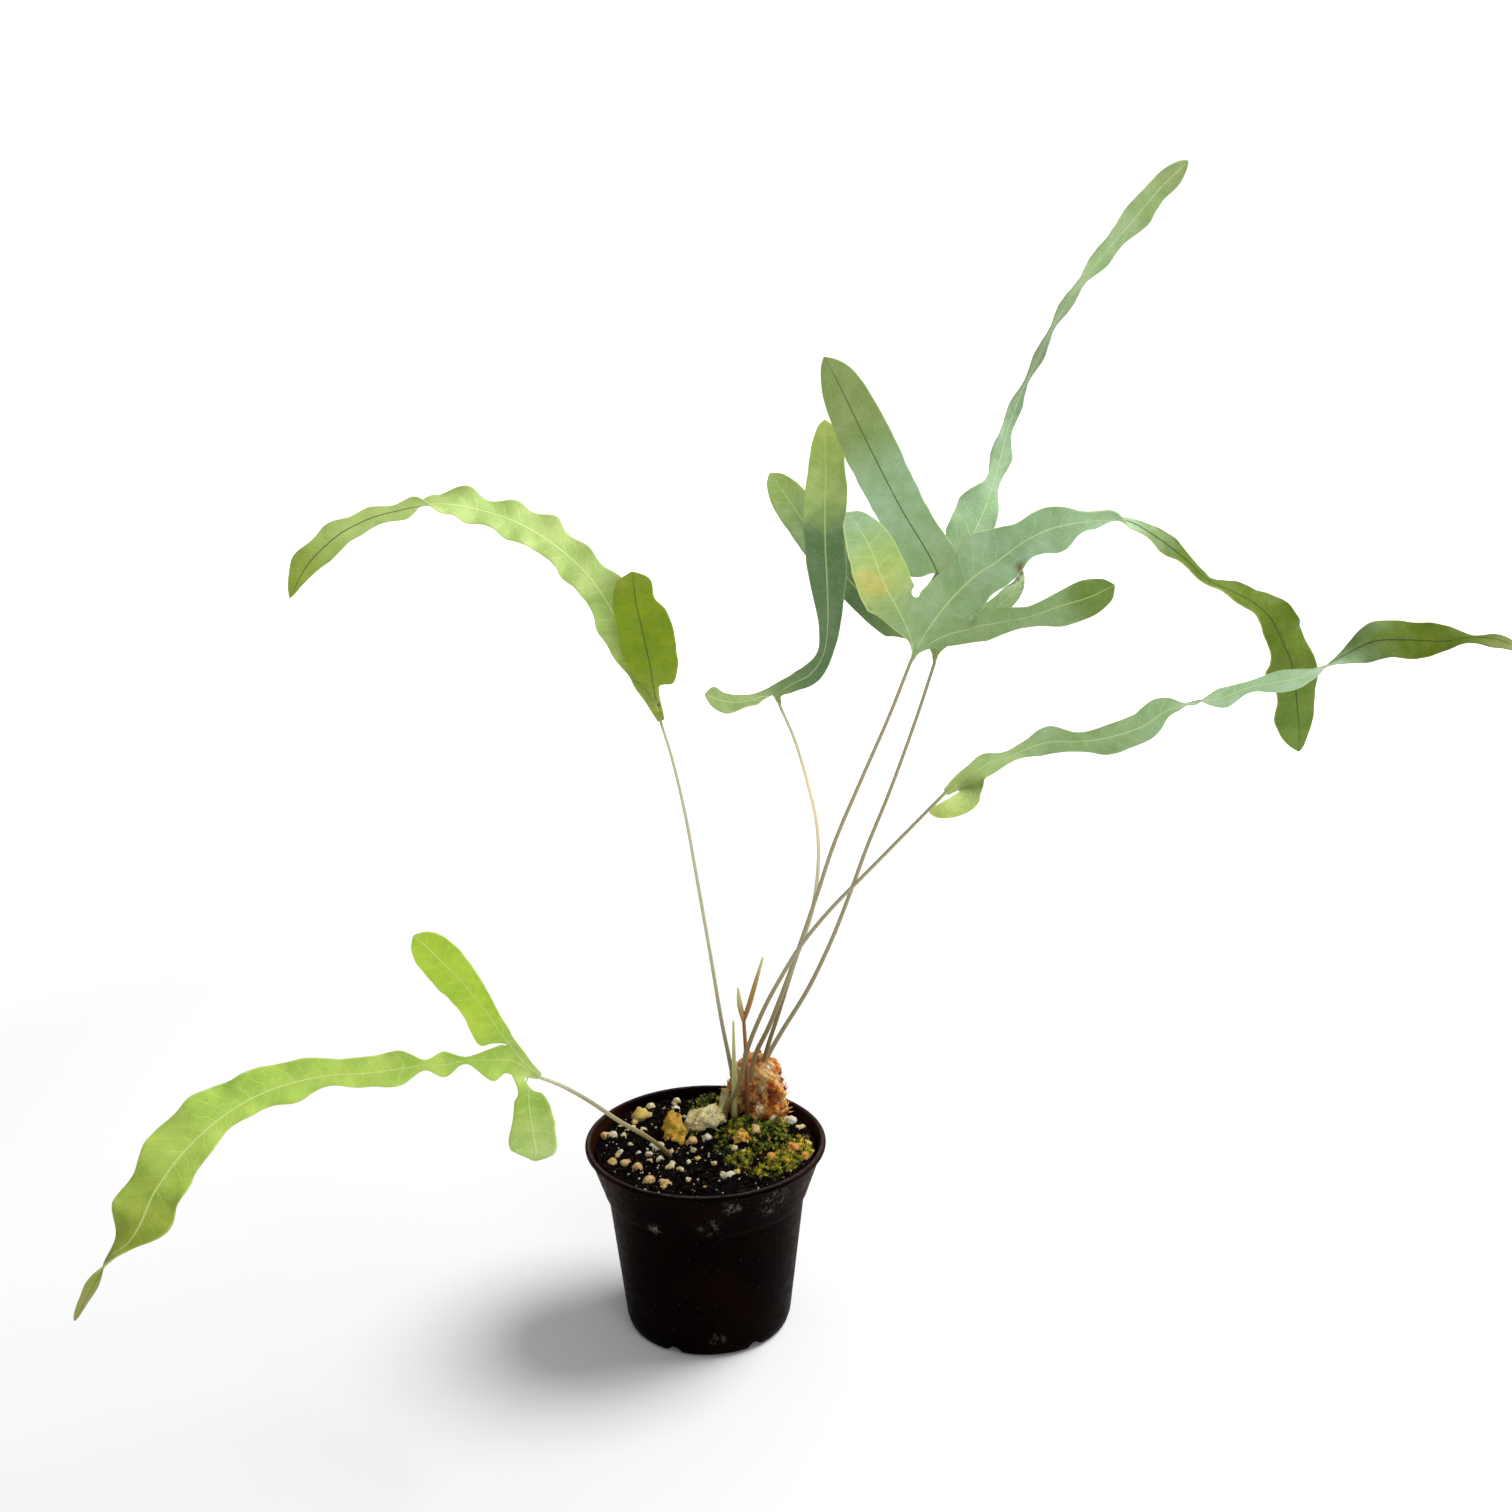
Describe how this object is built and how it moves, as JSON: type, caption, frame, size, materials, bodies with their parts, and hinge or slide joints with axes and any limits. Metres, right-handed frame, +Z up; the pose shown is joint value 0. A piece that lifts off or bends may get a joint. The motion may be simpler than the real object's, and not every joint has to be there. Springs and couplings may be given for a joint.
{
  "type": "potted blue star fern",
  "caption": "Round black nursery pot filled with potting mix, holding a small creeping fern with long-stalked, wavy, lobed blue-green fronds.",
  "frame": {"origin": "centre of the pot's base, on the plane it stands on", "axes": "+Z up; -Y the side seen in the picture; +X to the right of that view"},
  "size_m": [0.4567, 0.1933, 0.4243],
  "materials": {
    "pot_plastic": "thin black polypropylene, semi-gloss with dust",
    "potting_mix": "dark peat and bark crumbs with white and buff grains and moss",
    "rhizome_brown": "golden-brown scales and hairs",
    "rhizome_pale": "cream papery scales",
    "rhizome_bud": "orange-yellow scales turning green",
    "frond_green": "soft waxy leaf, green with a pale rib",
    "frond_blue_green": "soft waxy leaf with a blue-grey bloom",
    "frond_yellow_green": "soft waxy leaf, yellow-green",
    "stalk_pale": "matt pale green stalk",
    "stalk_young": "reddish-brown young stalk turning green"
  },
  "bodies": {
    "root": {"pot": "pot_plastic", "potting_mix": "potting_mix", "rhizome_main": "rhizome_brown", "rhizome_pale": "rhizome_pale", "rhizome_bud_left": "rhizome_bud", "rhizome_bud_front": "rhizome_bud", "frond_left": "frond_green", "frond_middle": "frond_green", "frond_front": "frond_blue_green", "frond_back": "frond_blue_green", "frond_right": "frond_blue_green", "frond_low": "frond_yellow_green", "cut_stalk": "stalk_pale", "young_frond": "stalk_young"}
  },
  "joints": []
}
